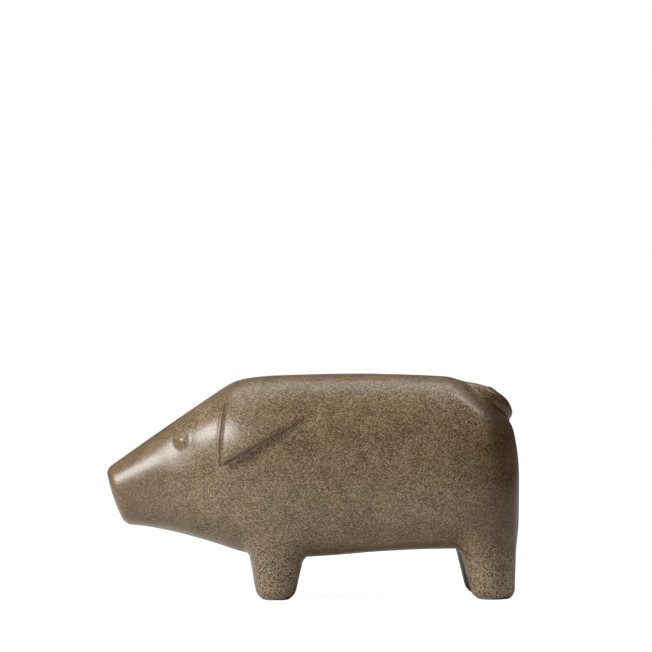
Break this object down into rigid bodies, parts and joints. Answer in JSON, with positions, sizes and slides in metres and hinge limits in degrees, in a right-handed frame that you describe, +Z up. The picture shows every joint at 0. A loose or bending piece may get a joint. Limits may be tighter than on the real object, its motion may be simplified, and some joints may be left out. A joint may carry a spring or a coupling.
{
  "type": "ceramic pig figurine",
  "caption": "Standing pig figurine in speckled glazed stoneware, with a flat snout, folded ears in relief, tapered legs and a curled tail.",
  "frame": {"origin": "on the ground, under the middle of the pig's length and width", "axes": "+Z up, the snout points towards -X and the rump towards +X, Y across the pig"},
  "size_m": [0.2496, 0.1006, 0.1351],
  "materials": {
    "glaze": "speckled satin stoneware glaze, grey-brown with fine tan and dark pits"
  },
  "bodies": {
    "root": {"pig_figurine": "glaze"}
  },
  "joints": []
}
